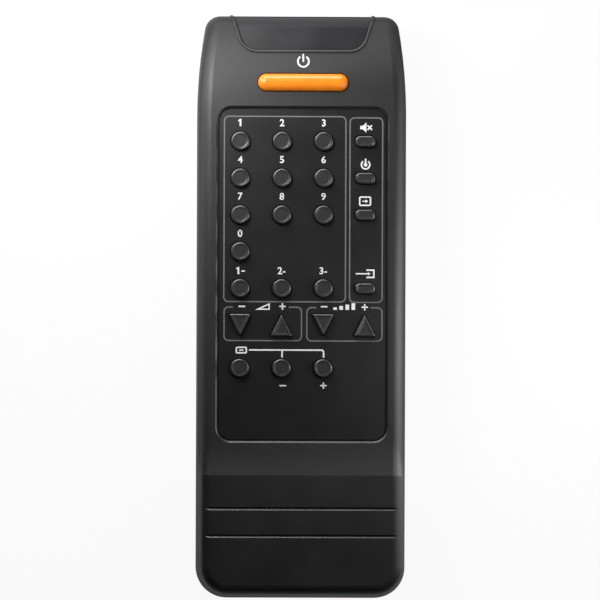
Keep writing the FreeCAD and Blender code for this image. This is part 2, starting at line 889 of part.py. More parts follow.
def make_circuit_board():
    width = body_width - 2 * (side_wall + board_side_gap)
    depth = board_high_y - board_low_y
    middle = (board_high_y + board_low_y) / 2
    board = prism(rounded_face(rectangle(width, depth, 0, middle), board_corner), board_z, board_top_z)
    holes = []
    for x, y in board_boss_places():
        holes.append((x, y, board_screw_diameter / 2 + screw_clearance))
    for x, y in case_screw_places():
        holes.append((x, y, case_boss_radius + boss_gap))
    for x, y in lead_places() + chip_pin_places() + tab_places():
        holes.append((x, y, lead_diameter / 2 + lead_hole_gap))
    cuts = [cylinder(x, y, board_z - 1, board_top_z + 1, radius) for x, y, radius in holes]
    return board.cut(Part.makeCompound(cuts))


def make_contact_pads():
    pads = []
    for key in key_list:
        x, y = key_place(key)
        radius = plunger_radii[key[1]] - pill_step
        pads.append(cylinder(x, y, board_top_z, board_top_z + pad_thickness, radius))
    return Part.makeCompound(pads)


def led_back_y():
    lean = upper_draft * (led_z - seam_z) / (grip_height - seam_z)
    inner = nose_y - lean - window_set_back - window_thickness
    return inner - led_window_gap - led_length


def make_led(side):
    x, back = side * led_spacing / 2, led_back_y()
    along = Vector(0, 1, 0)
    straight = led_length - led_radius
    body = Part.makeCylinder(led_radius, straight, Vector(x, back, led_z), along)
    dome = Part.makeSphere(led_radius, Vector(x, back + straight, led_z))
    rim = Part.makeCylinder(led_flange_radius, led_flange_thickness, Vector(x, back, led_z), along)
    return joined([body, dome, rim])


def bent_lead(points, radius):
    # A round lead through the given points, with round elbows.
    solids = []
    for a, b in zip(points, points[1:]):
        start, end = Vector(*a), Vector(*b)
        solids.append(Part.makeCylinder(radius, (end - start).Length, start, end - start))
    for p in points[1:-1]:
        solids.append(Part.makeSphere(radius, Vector(*p)))
    return joined(solids) if len(solids) > 1 else solids[0]


def led_lead_places():
    y = led_back_y() - led_lead_run
    return [(side * led_spacing / 2 + offset * lead_pitch / 2, y) for side in (-1, 1) for offset in (-1, 1)]


def make_led_leads():
    leads = []
    for x, y in led_lead_places():
        leads.append(bent_lead([(x, led_back_y(), led_z), (x, y, led_z), (x, y, board_top_z - lead_end_gap)],
                               lead_diameter / 2))
    return Part.makeCompound(leads)


# The parts under the board, placed from the middle of the board.

def chip_y():
    return (row_y(4) + row_y(5)) / 2


def chip_pin_places():
    half = chip_pin_count // 2
    places = []
    for side in (-1, 1):
        for index in range(half):
            x = (index - (half - 1) / 2) * lead_pitch
            places.append((x, chip_y() + side * chip_row_spacing / 2))
    return places


def make_encoder_chip():
    top = board_z - chip_standoff
    body = box(-chip_length / 2, chip_length / 2, chip_y() - chip_width / 2, chip_y() + chip_width / 2,
               top - chip_height, top)
    notch = cylinder(-chip_length / 2, chip_y(), top - chip_height - 1, top - chip_height / 2, 1.0)
    return body.cut(notch)


def make_chip_pins():
    pins = []
    thick, half = chip_pin_thickness, chip_pin_width / 2
    level = board_z - chip_standoff - chip_height / 2
    for x, y in chip_pin_places():
        side = 1 if y > chip_y() else -1
        edge = chip_y() + side * chip_width / 2
        out = sorted((edge, y + side * thick / 2))
        leg = sorted((y - side * thick / 2, y + side * thick / 2))
        arm = box(x - half, x + half, out[0], out[1], level - thick / 2, level + thick / 2)
        pin = box(x - half / 2, x + half / 2, leg[0], leg[1], level, board_top_z - lead_end_gap)
        pins.append(arm.fuse(pin).removeSplitter())
    return Part.makeCompound(pins)


def make_resonator():
    x, y = 0.0, chip_y() + resonator_ahead
    top = board_z - component_standoff
    body = box(x - resonator_width / 2, x + resonator_width / 2, y - resonator_depth / 2,
               y + resonator_depth / 2, top - resonator_height, top)
    upright = [edge for edge in body.Edges if edge.BoundBox.ZLength > resonator_height / 2]
    return body.makeFillet(resonator_depth / 2 - 0.3, upright)


def make_driver_transistor():
    # A round can with one flat side.
    x, y = 0.0, chip_y() + transistor_ahead
    top = board_z - component_standoff
    can = cylinder(x, y, top - transistor_height, top, transistor_radius)
    side = box(x - transistor_radius, x + transistor_radius, y + transistor_flat, y + 2 * transistor_radius,
               top - transistor_height - 1, top + 1)
    return can.cut(side)


def make_reservoir_capacitor():
    x, y = capacitor_aside, chip_y() + capacitor_ahead
    top = board_z - component_standoff
    can = cylinder(x, y, top - capacitor_length, top, capacitor_diameter / 2)
    edges = [edge for edge in can.Edges if edge.BoundBox.ZLength < 0.1]
    return can.makeFillet(0.5, edges)


def resistor_ys():
    return [chip_y() + resistors_ahead + index * resistor_step for index in range(resistor_count)]


def resistor_level():
    return board_z - component_standoff - resistor_radius


def make_resistors():
    bodies = []
    for y in resistor_ys():
        start = Vector(-resistor_length / 2, y, resistor_level())
        body = Part.makeCylinder(resistor_radius, resistor_length, start, Vector(1, 0, 0))
        bodies.append(body.makeFillet(0.4, body.Edges))
    return Part.makeCompound(bodies)


def standing_lead_places():
    resonator_y = chip_y() + resonator_ahead
    transistor_y = chip_y() + transistor_ahead
    capacitor_y = chip_y() + capacitor_ahead
    places = [(side * lead_pitch, resonator_y) for side in (-1, 1)]
    places += [(step * lead_pitch / 2, transistor_y) for step in (-1, 0, 1)]
    places += [(capacitor_aside + side * lead_pitch / 2, capacitor_y) for side in (-1, 1)]
    return places


def resistor_lead_places():
    return [(side * resistor_span / 2, y) for y in resistor_ys() for side in (-1, 1)]


def lead_places():
    return led_lead_places() + standing_lead_places() + resistor_lead_places()


def make_component_leads():
    leads = []
    radius = lead_diameter / 2
    high = board_top_z - lead_end_gap
    for x, y in standing_lead_places():
        leads.append(bent_lead([(x, y, board_z - component_standoff), (x, y, high)], radius))
    for x, y in resistor_lead_places():
        side = 1 if x > 0 else -1
        start = (side * resistor_length / 2, y, resistor_level())
        leads.append(bent_lead([start, (x, y, resistor_level()), (x, y, high)], radius))
    return Part.makeCompound(leads)


# Cells and their contacts.

def tab_levels():
    high = board_z - tab_drop
    return high - contact_thickness, high


def tab_places():
    return [(x, board_low_y + prong_setback) for x in (-cell_x, cell_x)]


def make_nose_contact(x):
    # A plate on the nose wall of the bay, its tab through the wall and its prong in the board.
    low, high = tab_levels()
    half = contact_size / 2
    back = bay_nose_y - contact_thickness
    plate = box(x - half, x + half, back, bay_nose_y, cell_z - half, high)
    end = board_low_y + prong_setback + tab_width / 2
    tab = box(x - tab_width / 2, x + tab_width / 2, back, end, low, high)
    prong = cylinder(x, board_low_y + prong_setback, low, board_top_z - lead_end_gap, lead_diameter / 2)
    return joined([plate, tab, prong])


def make_bridge_contact():
    half = contact_size / 2
    return box(-cell_x - half, cell_x + half, bay_tail_y, bay_tail_y + contact_thickness,
               cell_z - half, cell_z + half)


def make_cell(x, nub_y, side):
    # One penlight cell, its nub towards the nose for side 1 and towards the tail for side -1.
    along = Vector(0, -side, 0)
    shoulder = nub_y - side * cell_nub_height
    can = Part.makeCylinder(cell_diameter / 2, cell_length - cell_nub_height,
                            Vector(x, shoulder, cell_z), along)
    can = can.makeFillet(cell_edge, [edge for edge in can.Edges if edge.BoundBox.YLength < 0.1])
    nub = Part.makeCylinder(cell_nub_diameter / 2, cell_nub_height + cell_edge,
                            Vector(x, nub_y, cell_z), along)
    return can.fuse(nub).removeSplitter()


def tangent_arc(start, corner, end):
    # The arc that leaves start towards corner and reaches end from corner.
    middle = (start + end) * 0.5
    reach = (corner - start).Length
    depth = (middle - corner).Length
    sine = depth / reach
    cosine = math.sqrt(1 - sine ** 2)
    top = corner + (middle - corner) * (reach * (1 - cosine) / sine / depth)
    return Part.Arc(start, top, end)


def biarc(p, u, q, v):
    # Two tangent arcs from p, heading along u, to q, heading along v.
    span = q - p
    lean = span.dot(u + v)
    spread = 2 * (1 - u.dot(v))
    reach = (math.sqrt(lean ** 2 + spread * span.dot(span)) - lean) / spread
    a = p + u * reach
    b = q - v * reach
    joint = (a + b) * 0.5
    return [tangent_arc(p, a, joint), tangent_arc(joint, b, q)]


def spring_path(x, seat_y, side):
    # A cone spring from its seat towards a cell. Local u, v, w is X, Z and away from the seat.
    rise = spring_length - 2 * (spring_wire + spring_bend)
    quarters = 4 * spring_turns
    rate = rise / (2 * math.pi * spring_turns)
    draw = (spring_tip_radius - spring_foot_radius) / (2 * math.pi * spring_turns)

    def place(u, v, w):
        return Vector(x + u, seat_y + side * w, cell_z + v)

    def heading(turned):
        radius = spring_foot_radius + draw * turned
        u = draw * math.cos(turned) - radius * math.sin(turned)
        v = draw * math.sin(turned) + radius * math.cos(turned)
        return Vector(u, side * rate, v).normalize()

    def on_cone(turned):
        radius = spring_foot_radius + draw * turned
        w = spring_wire + spring_bend + rate * turned
        return place(radius * math.cos(turned), radius * math.sin(turned), w)

    turns = [index * math.pi / 2 for index in range(quarters + 1)]
    out = Vector(0, side, 0)
    first, last = on_cone(turns[0]), on_cone(turns[-1])
    first_way, last_way = heading(turns[0]), heading(turns[-1])
    foot = first - first_way * spring_bend - out * spring_bend
    tip = last + last_way * spring_bend + out * spring_bend
    arcs = biarc(foot, out, first, first_way)
    for a, b in zip(turns, turns[1:]):
        arcs += biarc(on_cone(a), heading(a), on_cone(b), heading(b))
    arcs += biarc(last, last_way, tip, out)
    seat = Vector(foot.x, seat_y, foot.z)
    end = Vector(tip.x, seat_y + side * spring_length, tip.z)
    edges = [Part.LineSegment(seat, foot).toShape()]
    edges += [arc.toShape() for arc in arcs]
    edges.append(Part.LineSegment(tip, end).toShape())
    return Part.Wire(edges)


def least_gap(path, wire):
    # The least distance between two stretches of the wire that are over half a turn apart.
    points = path.discretize(Distance=wire / 3)
    away = int(math.pi * spring_tip_radius / (wire / 3))
    found = min((points[i] - points[j]).Length
                for i in range(len(points)) for j in range(i + away, len(points)))
    return found - wire


def make_spring(x, seat_y, side):
    path = spring_path(x, seat_y, side)
    print("spring gap to itself", round(least_gap(path, spring_wire), 2), "mm")
    start = path.Edges[0].Vertexes[0].Point
    section = Part.Wire(Part.Circle(start, Vector(0, side, 0), spring_wire / 2).toShape())
    return Part.Wire(path).makePipeShell([section], True, False)


# Screws.

def make_board_screws():
    screws = []
    for x, y in board_boss_places():
        screws.append(screw(x, y, board_z, board_screw_head / 2, board_screw_head_height,
                            board_screw_diameter / 2, board_thickness + board_screw_grip))
    return Part.makeCompound(screws)


def make_case_screws():
    screws = []
    for x, y in case_screw_places():
        length = seam_z - case_well_depth + case_screw_grip
        screws.append(screw(x, y, case_well_depth, case_screw_head / 2, case_screw_head_height,
                            case_screw_diameter / 2, length))
    return Part.makeCompound(screws)


# All nodes.

def all_nodes():
    cell_nose = bay_nose_y - contact_thickness
    cell_tail = bay_tail_y + contact_thickness
    nodes = {
        "top_shell": make_top_shell(),
        "bottom_shell": make_bottom_shell(),
        "battery_cover": make_battery_cover(),
        "ir_window": make_ir_window(),
        "face_plate": make_face_plate(),
        "keypad_sheet": make_keypad_sheet(),
        "circuit_board": make_circuit_board(),
        "contact_pads": make_contact_pads(),
        "ir_led_left": make_led(-1),
        "ir_led_right": make_led(1),
        "led_leads": make_led_leads(),
        "encoder_chip": make_encoder_chip(),
        "chip_pins": make_chip_pins(),
        "resonator": make_resonator(),
        "driver_transistor": make_driver_transistor(),
        "reservoir_capacitor": make_reservoir_capacitor(),
        "resistors": make_resistors(),
        "component_leads": make_component_leads(),
        "positive_contact": make_nose_contact(-cell_x),
        "negative_contact": make_nose_contact(cell_x),
        "negative_spring": make_spring(cell_x, cell_nose, -1),
        "bridge_contact": make_bridge_contact(),
        "bridge_spring": make_spring(-cell_x, cell_tail, 1),
        "battery_cell_left": make_cell(-cell_x, cell_nose, 1),
        "battery_cell_right": make_cell(cell_x, cell_tail, -1),
        "case_screws": make_case_screws(),
        "board_screws": make_board_screws(),
    }
    for key in key_list:
        nodes[key[0]] = make_key(key)
    return nodes


os.makedirs("parts", exist_ok=True)
for name, shape in all_nodes().items():
    shape.exportStep("parts/" + name + ".step")
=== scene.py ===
import bpy
import math
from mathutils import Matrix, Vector
from mathutils.bvhtree import BVHTree


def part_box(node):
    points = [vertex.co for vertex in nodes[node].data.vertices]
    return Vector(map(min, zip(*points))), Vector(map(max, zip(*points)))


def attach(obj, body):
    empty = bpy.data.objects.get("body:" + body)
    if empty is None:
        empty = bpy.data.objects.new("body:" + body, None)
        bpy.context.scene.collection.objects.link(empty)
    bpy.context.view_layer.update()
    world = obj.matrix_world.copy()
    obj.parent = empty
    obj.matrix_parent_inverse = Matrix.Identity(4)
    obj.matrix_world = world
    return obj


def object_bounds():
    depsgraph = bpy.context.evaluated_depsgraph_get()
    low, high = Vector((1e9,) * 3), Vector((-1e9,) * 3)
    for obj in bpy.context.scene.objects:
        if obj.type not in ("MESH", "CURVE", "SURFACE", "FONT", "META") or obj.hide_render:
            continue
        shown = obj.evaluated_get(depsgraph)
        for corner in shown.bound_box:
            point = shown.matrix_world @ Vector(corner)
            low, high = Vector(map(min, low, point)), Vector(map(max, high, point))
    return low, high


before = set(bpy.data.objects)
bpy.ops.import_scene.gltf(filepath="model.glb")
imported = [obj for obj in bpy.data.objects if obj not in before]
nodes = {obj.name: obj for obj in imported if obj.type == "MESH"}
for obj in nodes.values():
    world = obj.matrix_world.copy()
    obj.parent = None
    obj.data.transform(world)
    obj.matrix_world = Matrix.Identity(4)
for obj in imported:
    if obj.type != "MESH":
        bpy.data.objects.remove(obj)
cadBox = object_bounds()
mm = 0.001
scene = bpy.context.scene
scene.view_settings.view_transform = "Standard"
print("frame loaded with", len(nodes), "nodes")


# Camera, first of all

cameraLook = {
    "metresPerPixel": 0.0002877,
    "pictureMiddle": (300, 300),
    "originPixel": (302.5, 306.0),     # where the middle of the back lies in the picture
    "distance": 2.6,
    "lean": math.radians(2.0),         # the view comes from slightly left
    "roll": math.radians(0.22),
    "sensorWidth": 36,
    "clipEnd": 20,
}


def makeCamera():
    look = cameraLook
    step = look["metresPerPixel"]
    middle, origin = look["pictureMiddle"], look["originPixel"]
    aim = Vector(((middle[0] - origin[0]) * step, (origin[1] - middle[1]) * step, cadBox[1].z))
    camera = bpy.data.cameras.new("camera")
    camera.sensor_width = look["sensorWidth"]
    camera.lens = camera.sensor_width * look["distance"] / (2 * middle[0] * step)
    camera.clip_end = look["clipEnd"]
    holder = bpy.data.objects.new("camera", camera)
    back = Vector((-math.sin(look["lean"]), 0, math.cos(look["lean"])))
    holder.location = aim + back * look["distance"]
    holder.rotation_euler = (0, -look["lean"], look["roll"])
    scene.collection.objects.link(holder)
    scene.camera = holder


makeCamera()
print("camera made")


# Shader helpers

class Wire:
    # one output socket that can stand in a sum, so that a mask is written as 1 - mask
    def __init__(self, finish, socket):
        self.finish = finish
        self.socket = socket

    def maths(self, operation, first, second):
        return self.finish.node("ShaderNodeMath", {"operation": operation}, {0: first, 1: second})

    def __add__(self, other):
        return self.maths("ADD", self, other)

    def __sub__(self, other):
        return self.maths("SUBTRACT", self, other)

    def __rsub__(self, other):
        return self.maths("SUBTRACT", other, self)

    def __mul__(self, other):
        return self.maths("MULTIPLY", self, other)

    def __truediv__(self, other):
        return self.maths("DIVIDE", self, other)

    def __rtruediv__(self, other):
        return self.maths("DIVIDE", other, self)

    def __mod__(self, other):
        return self.maths("FLOORED_MODULO", self, other)

    def __rmod__(self, other):
        return self.maths("FLOORED_MODULO", other, self)

    def __lt__(self, other):
        return self.maths("LESS_THAN", self, other)

    def __gt__(self, other):
        return self.maths("GREATER_THAN", self, other)

    def __abs__(self):
        return self.maths("ABSOLUTE", self, 0.0)

    __radd__ = __add__
    __rmul__ = __mul__


class Finish:
    # one material, and the one way in which nodes are added to it
    def __init__(self, name, colour, roughness, metallic=0.0, **fixed):
        self.material = bpy.data.materials.new(name)
        self.material.use_nodes = True
        self.tree = self.material.node_tree
        self.surface = self.tree.nodes["Principled BSDF"]
        self.set("Base Color", (*colour, 1))
        self.set("Roughness", roughness)
        self.set("Metallic", metallic)
        for socket, value in fixed.items():
            self.set(socket.replace("_", " "), value)

    def plug(self, socket, value):
        if isinstance(value, Wire):
            self.tree.links.new(value.socket, socket)
        else:
            socket.default_value = value

    def set(self, socket, value):
        self.plug(self.surface.inputs[socket], value)

    def node(self, kind, settings, sockets, output=0):
        made = self.tree.nodes.new(kind)
        for name, value in settings.items():
            setattr(made, name, value)
        for socket, value in sockets.items():
            self.plug(made.inputs[socket], value)
        return Wire(self, made.outputs[output])

    def place(self):
        # the object's own coordinates, in metres
        return self.node("ShaderNodeTexCoord", {}, {}, "Object")

    def along(self, axis):
        return self.node("ShaderNodeSeparateXYZ", {}, {0: self.place()}, axis)

    def noise(self, size, detail=2.0, roughness=0.5, stretch=(1, 1, 1)):
        # size is the width of one patch in metres
        where = self.node("ShaderNodeVectorMath", {"operation": "MULTIPLY"}, {0: self.place(), 1: stretch})
        return self.node("ShaderNodeTexNoise", {"noise_dimensions": "3D"},
                         {"Vector": where, "Scale": 1 / size, "Detail": detail, "Roughness": roughness})

    def between(self, value, low, high):
        # a mask: 0 where the value is low, 1 where it is high, and held there beyond both
        return self.node("ShaderNodeMapRange", {"clamp": True},
                         {"Value": value, "From Min": low, "From Max": high})

    def patches(self, size, low=0.3, high=0.7, detail=3, roughness=0.5, stretch=(1, 1, 1)):
        # a mask of soft patches; low and high are the noise at which one starts and is full
        return self.between(self.noise(size, detail, roughness, stretch), low, high)

    def blend(self, amount, first, second):
        # two colours, mixed by a mask
        return self.node("ShaderNodeMix", {"data_type": "RGBA"},
                         {0: amount, 6: (*first, 1) if isinstance(first, tuple) else first,
                          7: (*second, 1) if isinstance(second, tuple) else second}, 2)

    def bump(self, height, depth):
        # depth is the height of the relief in metres
        self.set("Normal", self.node("ShaderNodeBump", {},
                                     {"Strength": 1.0, "Distance": depth, "Height": height}))


def paint(names, finish):
    for name in names:
        nodes[name].data.materials.clear()
        nodes[name].data.materials.append(finish.material)


# In the dictionaries below, a mask of patches is given as the size of a patch, the noise at
# which it starts and is full, and then, where they matter, detail, roughness and stretch.
# A plain noise is given as its size, or as its size, detail and roughness.

# Case: sparked charcoal plastic, smoother where it is handled

caseLook = {
    "deep": (0.0038, 0.0038, 0.0041),
    "pale": (0.0062, 0.0062, 0.0066),
    "refraction": 1.70,
    "clouds": (16 * mm, 0.30, 0.70, 3, 0.6), "cloudShare": 0.7, "cloudRoughness": 0.03,
    "specks": (0.60 * mm, 0.60, 0.75, 1), "speckShare": 0.3, "speckRoughness": 0.08,
    "pits": (0.30 * mm, 3, 0.6), "pitDepth": 0.012 * mm,      # the sparked texture
    "pores": (0.90 * mm, 1), "poreShare": 0.5,
    "roughness": 0.45,
    "handledRoughness": 0.41,
    "handledSides": (24 * mm, 29 * mm),       # from the middle line, where fingers start and end
    "handledPalm": (-30 * mm, -60 * mm),      # along the case, where the palm starts and lies full
    "handledMask": (0.3, 1.3),
    "wear": (9 * mm, 0.35, 0.60, 4),
    "wallRoughness": 1.00,              # the walls have the coarser side of the texture
    "wall": (22.8 * mm, 20.5 * mm),     # height where they start, and where they are all rough
    "underside": 0.05 * mm,             # what is lower is the back
    "scratch": (0.035, 0.035, 0.036),
    "hairs": (0.5 * mm, 0.70, 0.74, 1, 0.5, (1, 0.02, 1)),
    "scuffs": (20 * mm, 0.45, 0.65, 2),
}


def caseFinish():
    look = caseLook
    finish = Finish("case_plastic", look["pale"], look["roughness"], IOR=look["refraction"])
    clouds = finish.patches(*look["clouds"])
    specks = finish.patches(*look["specks"])
    skin = finish.blend(clouds * look["cloudShare"] + specks * look["speckShare"], look["deep"], look["pale"])
    # the back slides over tables, so it carries fine scratches along the case
    underside = finish.along("Z") < look["underside"]
    scratches = underside * finish.patches(*look["hairs"]) * finish.patches(*look["scuffs"])
    finish.set("Base Color", finish.blend(scratches, skin, look["scratch"]))
    sides = finish.between(abs(finish.along("X")), *look["handledSides"])
    palm = finish.between(finish.along("Y"), *look["handledPalm"])
    handled = finish.patches(*look["wear"]) * finish.between(sides + palm, *look["handledMask"])
    face = look["roughness"] + specks * look["speckRoughness"] + clouds * look["cloudRoughness"] \
        - handled * (look["roughness"] - look["handledRoughness"])
    wall = finish.between(finish.along("Z"), *look["wall"])
    finish.set("Roughness", face + wall * (look["wallRoughness"] - look["roughness"]))
    pits = finish.noise(*look["pits"])
    finish.bump(pits + finish.noise(*look["pores"]) * look["poreShare"], look["pitDepth"])
    return finish


# Face plate: finer satin black

plateLook = {
    "deep": (0.0032, 0.0032, 0.0034),
    "pale": (0.0052, 0.0052, 0.0055),
    "refraction": 1.70,
    "clouds": (12 * mm, 0.3, 0.7),
    "grain": 0.16 * mm,
    "grainDepth": 0.004 * mm,
    "roughness": 0.37,
    "rubbedRoughness": 0.34,
    "rubbing": (14 * mm, 0.45, 0.7, 5, 0.65),
}


def plateFinish():
    look = plateLook
    finish = Finish("plate_satin", look["pale"], look["roughness"], IOR=look["refraction"])
    finish.set("Base Color", finish.blend(finish.patches(*look["clouds"]), look["deep"], look["pale"]))
    rubbed = finish.patches(*look["rubbing"])
    finish.set("Roughness", look["roughness"] - rubbed * (look["roughness"] - look["rubbedRoughness"]))
    finish.bump(finish.noise(look["grain"]), look["grainDepth"])
    return finish


# Keys: charcoal rubber, and the orange power key

keyLook = {
    "deep": (0.0170, 0.0172, 0.0176),
    "pale": (0.0270, 0.0272, 0.0276),
    "refraction": 1.70,
    "clouds": (3 * mm, 0.3, 0.7), "cloudPolish": 0.05,
    "grain": 0.20 * mm,
    "grainDepth": 0.004 * mm,
    "roughness": 0.37,
}

powerLook = {
    "deep": (0.82, 0.205, 0.011),
    "pale": (0.88, 0.245, 0.016),
    "refraction": 1.50,
    "clouds": (3 * mm, 0.3, 0.7), "cloudPolish": 0.05,
    "grain": 0.22 * mm,
    "grainDepth": 0.002 * mm,
    "roughness": 0.32,
}


def rubberFinish(name, look):
    finish = Finish(name, look["pale"], look["roughness"], IOR=look["refraction"])
    clouds = finish.patches(*look["clouds"])
    finish.set("Base Color", finish.blend(clouds, look["deep"], look["pale"]))
    finish.set("Roughness", look["roughness"] - clouds * look["cloudPolish"])
    finish.bump(finish.noise(look["grain"]), look["grainDepth"])
    return finish


# Window: polished resin, nearly black, rubbed dull at the edge on the nose

windowLook = {
    "deep": (0.0060, 0.0054, 0.0070),
    "pale": (0.0100, 0.0092, 0.0112),
    "roughness": 0.40,
    "haze": (6 * mm, 0.35, 0.7, 4), "hazeRoughness": 0.05,
    "nose": (80.5 * mm, 82.0 * mm), "noseRubbing": 0.35,
    "wave": 0.8 * mm,
    "waveDepth": 0.001 * mm,
}


def windowFinish():
    look = windowLook
    finish = Finish("window_resin", look["pale"], look["roughness"])
    haze = finish.patches(*look["haze"])
    finish.set("Base Color", finish.blend(haze, look["deep"], look["pale"]))
    nose = finish.between(finish.along("Y"), *look["nose"])
    finish.set("Roughness", look["roughness"] + haze * look["hazeRoughness"] + nose * look["noseRubbing"])
    finish.bump(finish.noise(look["wave"]), look["waveDepth"])
    return finish


# Inner works that are one plain stuff each: two close shades in patches, with a fine skin

sheetLook = {
    "deep": (0.035, 0.037, 0.040), "pale": (0.055, 0.058, 0.062), "roughness": 0.62,
    "patch": 5 * mm, "grain": 0.3 * mm, "grainDepth": 0.01 * mm,
}
carbonLook = {
    "deep": (0.006, 0.006, 0.006), "pale": (0.014, 0.014, 0.015), "roughness": 0.70,
    "patch": 0.8 * mm, "grain": 0.08 * mm, "grainDepth": 0.01 * mm,
}
ledLook = {
    "deep": (0.010, 0.006, 0.020), "pale": (0.022, 0.014, 0.040), "roughness": 0.10,
    "patch": 2 * mm, "grain": 0.8 * mm, "grainDepth": 0.002 * mm, "coat": 0.4,
}
chipLook = {
    "deep": (0.010, 0.010, 0.010), "pale": (0.018, 0.018, 0.018), "roughness": 0.60,
    "patch": 2 * mm, "grain": 0.12 * mm, "grainDepth": 0.015 * mm,
}
resonatorLook = {
    "deep": (0.38, 0.13, 0.010), "pale": (0.52, 0.20, 0.016), "roughness": 0.28,
    "patch": 1.5 * mm, "grain": 1.0 * mm, "grainDepth": 0.03 * mm,
}


def moulded(name, look, roughening=0.12):
    # roughening is how much rougher the pale patches are
    finish = Finish(name, look["pale"], look["roughness"], Coat_Weight=look.get("coat", 0.0))
    patches = finish.patches(look["patch"])
    finish.set("Base Color", finish.blend(patches, look["deep"], look["pale"]))
    finish.set("Roughness", look["roughness"] * (1 + patches * roughening))
    finish.bump(finish.noise(look["grain"]), look["grainDepth"])
    return finish


# Circuit board: green varnish over tracks that turn from region to region

boardLook = {
    "mask": (0.016, 0.070, 0.020), "track": (0.030, 0.120, 0.034),
    "trackPitch": 1.27 * mm, "trackShare": 0.42,
    "region": 9 * mm,
    "bareStep": 0.25, "bareShare": 0.06,      # a few regions have no tracks
    "roughness": 0.30, "flow": 0.6 * mm, "flowRoughness": 0.08,
    "ripple": 0.4 * mm, "rippleShare": 0.2, "relief": 0.03 * mm,
}


def boardFinish():
    look = boardLook
    finish = Finish("board_mask", look["mask"], look["roughness"])
    cells = finish.node("ShaderNodeTexVoronoi", {"feature": "F1"},
                        {"Vector": finish.place(), "Scale": 1 / look["region"]}, "Color")
    region = finish.node("ShaderNodeSeparateColor", {}, {0: cells})
    across = (finish.along("X") / look["trackPitch"]) % 1.0 < look["trackShare"]
    lengthways = (finish.along("Y") / look["trackPitch"]) % 1.0 < look["trackShare"]
    turned = region > 0.5
    bare = (region % look["bareStep"]) < look["bareShare"]
    tracks = (across * turned + lengthways * (1 - turned)) * (1 - bare)
    finish.set("Base Color", finish.blend(tracks, look["mask"], look["track"]))
    finish.set("Roughness", look["roughness"] + finish.noise(look["flow"]) * look["flowRoughness"])
    finish.bump(tracks + finish.noise(look["ripple"]) * look["rippleShare"], look["relief"])
    return finish


# Reservoir capacitor: a blue sleeve with a dashed stripe, bare metal at its end

capacitorLook = {
    "sleeve": (0.006, 0.010, 0.045), "stripe": (0.30, 0.32, 0.36), "can": (0.55, 0.55, 0.56),
    "stripeHalf": 1.1 * mm, "dashPitch": 2.2 * mm, "dashShare": 0.7,
    "endDepth": 0.4 * mm,
    "roughness": 0.24, "flow": (1.2 * mm, 3), "flowRoughness": 0.10,
    "crease": 1.5 * mm, "creaseDepth": 0.02 * mm,
}


def capacitorFinish():
    look = capacitorLook
    low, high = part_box("reservoir_capacitor")
    middle = (low + high) / 2
    finish = Finish("capacitor_sleeve", look["sleeve"], look["roughness"])
    isEnd = finish.along("Z") < low.z + look["endDepth"]
    nearStripe = abs(finish.along("Y") - middle.y) < look["stripeHalf"]
    onSide = (finish.along("X") - middle.x) > 0.0
    dashes = (finish.along("Z") / look["dashPitch"]) % 1.0 < look["dashShare"]
    sleeve = finish.blend(nearStripe * onSide * dashes, look["sleeve"], look["stripe"])
    finish.set("Base Color", finish.blend(isEnd, sleeve, look["can"]))
    finish.set("Metallic", isEnd)
    finish.set("Roughness", look["roughness"] + finish.noise(*look["flow"]) * look["flowRoughness"])
    finish.bump(finish.noise(look["crease"]), look["creaseDepth"])
    return finish


# Resistors: tan lacquer with four colour bands

resistorLook = {
    "body": (0.50, 0.36, 0.17), "patchy": (0.42, 0.29, 0.13), "patches": (0.9 * mm, 0.35, 0.65),
    "bandHalf": 0.28 * mm,
    # place from the middle, colour
    "bands": ((-1.9 * mm, (0.16, 0.05, 0.012)), (-0.9 * mm, (0.010, 0.010, 0.010)),
              (0.1 * mm, (0.55, 0.02, 0.012)), (1.9 * mm, (0.52, 0.33, 0.05))),
    "roughness": 0.35, "flow": 0.5 * mm, "flowRoughness": 0.08,
    "ripple": 0.7 * mm, "rippleDepth": 0.02 * mm,
}


def resistorFinish():
    look = resistorLook
    low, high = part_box("resistors")
    middle = (low + high) / 2
    finish = Finish("resistor_lacquer", look["body"], look["roughness"])
    colour = finish.blend(finish.patches(*look["patches"]), look["patchy"], look["body"])
    for place, bandColour in look["bands"]:
        band = abs(finish.along("X") - (middle.x + place)) < look["bandHalf"]
        colour = finish.blend(band, colour, bandColour)
    finish.set("Base Color", colour)
    finish.set("Roughness", look["roughness"] + finish.noise(look["flow"]) * look["flowRoughness"])
    finish.bump(finish.noise(look["ripple"]), look["rippleDepth"])
    return finish


# Metals

metalLook = {
    # deep colour, pale colour, roughness, grain size, stretch of the grain
    "tinned_wire": ((0.50, 0.50, 0.49), (0.66, 0.66, 0.65), 0.28, 0.5 * mm, (1, 1, 1)),
    "nickel": ((0.52, 0.50, 0.46), (0.66, 0.64, 0.60), 0.20, 0.8 * mm, (1, 1, 0.15)),
    "zinc": ((0.42, 0.43, 0.45), (0.60, 0.61, 0.62), 0.30, 0.25 * mm, (1, 1, 1)),
}
metalWear = {
    "dullGrains": 8,                    # size of a dull patch in grains
    "dullMask": (0.4, 0.7), "dullShare": 0.6, "dullRoughness": 0.08,
    "streakNoise": (3, 0.6),            # detail and roughness of the grain
    "streakShare": 0.4, "streakRoughness": 0.10, "streakDepth": 0.008 * mm,
}


def metalFinish(name):
    deep, pale, roughness, grain, stretch = metalLook[name]
    wear = metalWear
    finish = Finish(name, pale, roughness, 1.0)
    streaks = finish.noise(grain, *wear["streakNoise"], stretch)
    dull = finish.patches(grain * wear["dullGrains"], *wear["dullMask"])
    shade = dull * wear["dullShare"] + streaks * wear["streakShare"]
    finish.set("Base Color", finish.blend(shade, deep, pale))
    finish.set("Roughness", roughness + streaks * wear["streakRoughness"] + dull * wear["dullRoughness"])
    finish.bump(streaks, wear["streakDepth"])
    return finish


# Penlight cells: a two-tone jacket between bare metal ends

